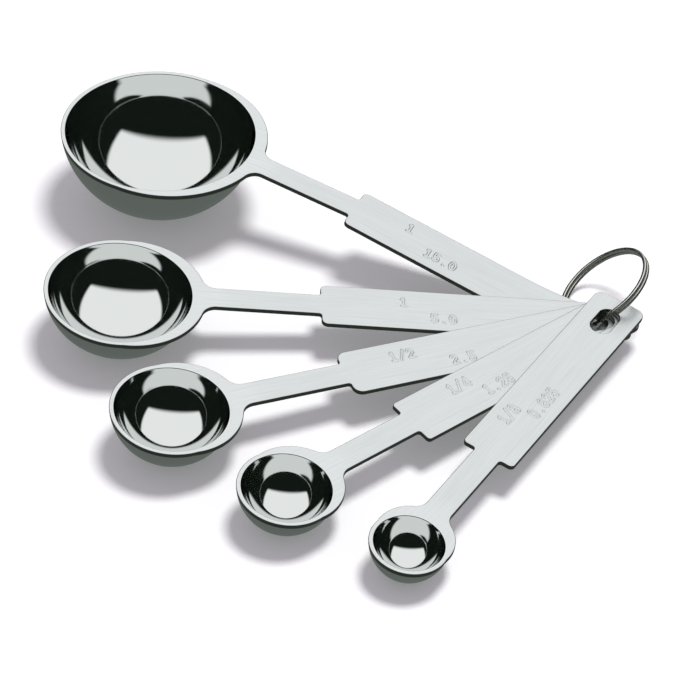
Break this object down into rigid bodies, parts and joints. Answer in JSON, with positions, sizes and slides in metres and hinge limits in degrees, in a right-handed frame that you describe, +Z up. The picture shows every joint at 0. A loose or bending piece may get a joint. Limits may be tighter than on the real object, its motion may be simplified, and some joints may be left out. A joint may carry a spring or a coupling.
{
  "type": "measuring spoon set",
  "caption": "Nested round-bowl measuring spoons of stamped sheet steel, each turning on a split ring through the end of its flat stepped handle.",
  "frame": {"origin": "middle of the set's box in plan, on the surface that the bowls and the ring's low side rest on", "axes": "+Z up out of the open bowls, +X towards the ring, +Y towards the tablespoon's side of the fan"},
  "size_m": [0.128, 0.1388, 0.0196],
  "materials": {
    "spoon_steel": "mirror-polished bowls, satin handles brushed along their length",
    "ring_steel": "polished flat wire"
  },
  "bodies": {
    "tablespoon": {"tablespoon": "spoon_steel"},
    "teaspoon": {"teaspoon": "spoon_steel"},
    "half_teaspoon": {"half_teaspoon": "spoon_steel"},
    "quarter_teaspoon": {"quarter_teaspoon": "spoon_steel"},
    "eighth_teaspoon": {"eighth_teaspoon": "spoon_steel"},
    "split_ring": {"split_ring": "ring_steel"}
  },
  "joints": [
    {"name": "tablespoon_swing", "type": "hinge", "parent": "split_ring", "child": "tablespoon", "pos_m": [0.05026, 0.01191, 0.00327], "axis": [0.0786, -0.0553, 0.9954], "range_deg": [-32, 0]},
    {"name": "teaspoon_swing", "type": "hinge", "parent": "split_ring", "child": "teaspoon", "pos_m": [0.05202, 0.00968, 0.00559], "axis": [0.0786, -0.0553, 0.9954], "range_deg": [0, 3.5]},
    {"name": "half_teaspoon_swing", "type": "hinge", "parent": "split_ring", "child": "half_teaspoon", "pos_m": [0.05343, 0.00841, 0.00653], "axis": [0.0786, -0.0553, 0.9954], "range_deg": [-2, 3.5]},
    {"name": "quarter_teaspoon_swing", "type": "hinge", "parent": "split_ring", "child": "quarter_teaspoon", "pos_m": [0.05472, 0.00814, 0.00753], "axis": [0.0786, -0.0553, 0.9954], "range_deg": [-3.5, 4.5]},
    {"name": "eighth_teaspoon_swing", "type": "hinge", "parent": "split_ring", "child": "eighth_teaspoon", "pos_m": [0.05568, 0.00796, 0.00856], "axis": [0.0786, -0.0553, 0.9954], "range_deg": [-4.5, 20]}
  ]
}
